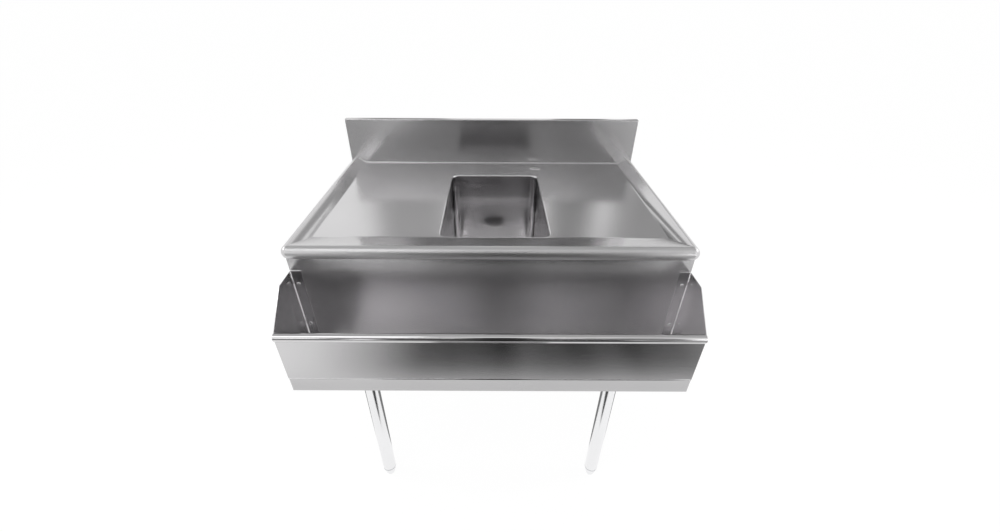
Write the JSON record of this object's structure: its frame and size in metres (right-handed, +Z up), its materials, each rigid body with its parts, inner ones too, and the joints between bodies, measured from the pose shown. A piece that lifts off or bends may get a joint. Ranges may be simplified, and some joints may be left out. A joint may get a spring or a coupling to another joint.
{
  "type": "bar sink",
  "caption": "Stainless underbar sink: recessed drainboard with a deep bowl for water or ice, splash, apron, bottle rail on end brackets, levelling legs and basket drain.",
  "frame": {"origin": "on the floor, under the middle of the unit's outer box", "axes": "+Z up, +Y towards the wall (the splash), +X to the right as seen from the front"},
  "size_m": [0.914, 0.745, 1.035],
  "materials": {
    "stainless_satin": "satin, polished along the sheet",
    "stainless_tube": "bright drawn tube",
    "stainless_polished": "polished",
    "zinc_plated_steel": "zinc plated",
    "chromed_brass": "chrome plated",
    "black_rubber": "matt",
    "grey_fibre": "matt"
  },
  "bodies": {
    "unit": {"deck_top": "stainless_satin", "backsplash": "stainless_satin", "splash_cap_left": "stainless_satin", "splash_cap_right": "stainless_satin", "sink_bowl": "stainless_satin", "bowl_sound_pad": "black_rubber", "front_apron": "stainless_satin", "side_panel_left": "stainless_satin", "side_panel_right": "stainless_satin", "rear_panel": "stainless_satin", "deck_channel_left": "stainless_satin", "deck_channel_right": "stainless_satin", "rail_front": "stainless_satin", "rail_pan": "stainless_satin", "rail_end_left": "stainless_satin", "rail_end_right": "stainless_satin", "rail_screws": "stainless_polished", "rail_nuts": "zinc_plated_steel", "faucet_hole_cover": "stainless_polished", "faucet_hole_washer": "zinc_plated_steel", "faucet_hole_nut": "zinc_plated_steel", "leg_socket_front_left": "stainless_tube", "leg_socket_front_right": "stainless_tube", "leg_socket_rear_left": "stainless_tube", "leg_socket_rear_right": "stainless_tube", "leg_set_screws": "zinc_plated_steel", "leg_front_left": "stainless_tube", "leg_front_right": "stainless_tube", "leg_rear_left": "stainless_tube", "leg_rear_right": "stainless_tube", "foot_plug_front_left": "zinc_plated_steel", "foot_plug_front_right": "zinc_plated_steel", "foot_plug_rear_left": "zinc_plated_steel", "foot_plug_rear_right": "zinc_plated_steel", "drain_body": "stainless_polished", "drain_gasket": "black_rubber", "drain_washer": "grey_fibre", "drain_locknut": "zinc_plated_steel", "tailpiece": "chromed_brass", "tailpiece_washer": "grey_fibre", "tailpiece_nut": "chromed_brass"},
    "levelling_foot_front_left": {"foot_front_left": "stainless_tube"},
    "levelling_foot_front_right": {"foot_front_right": "stainless_tube"},
    "levelling_foot_rear_left": {"foot_rear_left": "stainless_tube"},
    "levelling_foot_rear_right": {"foot_rear_right": "stainless_tube"},
    "strainer": {"strainer_basket": "stainless_polished", "strainer_post": "stainless_polished", "strainer_seal": "black_rubber"}
  },
  "joints": [
    {"name": "screw_foot_front_left", "type": "slide", "parent": "unit", "child": "levelling_foot_front_left", "axis": [0, 0, -1], "range_m": [0, 0.025]},
    {"name": "screw_foot_front_right", "type": "slide", "parent": "unit", "child": "levelling_foot_front_right", "axis": [0, 0, -1], "range_m": [0, 0.025]},
    {"name": "screw_foot_rear_left", "type": "slide", "parent": "unit", "child": "levelling_foot_rear_left", "axis": [0, 0, -1], "range_m": [0, 0.025]},
    {"name": "screw_foot_rear_right", "type": "slide", "parent": "unit", "child": "levelling_foot_rear_right", "axis": [0, 0, -1], "range_m": [0, 0.025]},
    {"name": "lift_strainer", "type": "slide", "parent": "unit", "child": "strainer", "axis": [0, 0, 1], "range_m": [0, 0.34]}
  ]
}
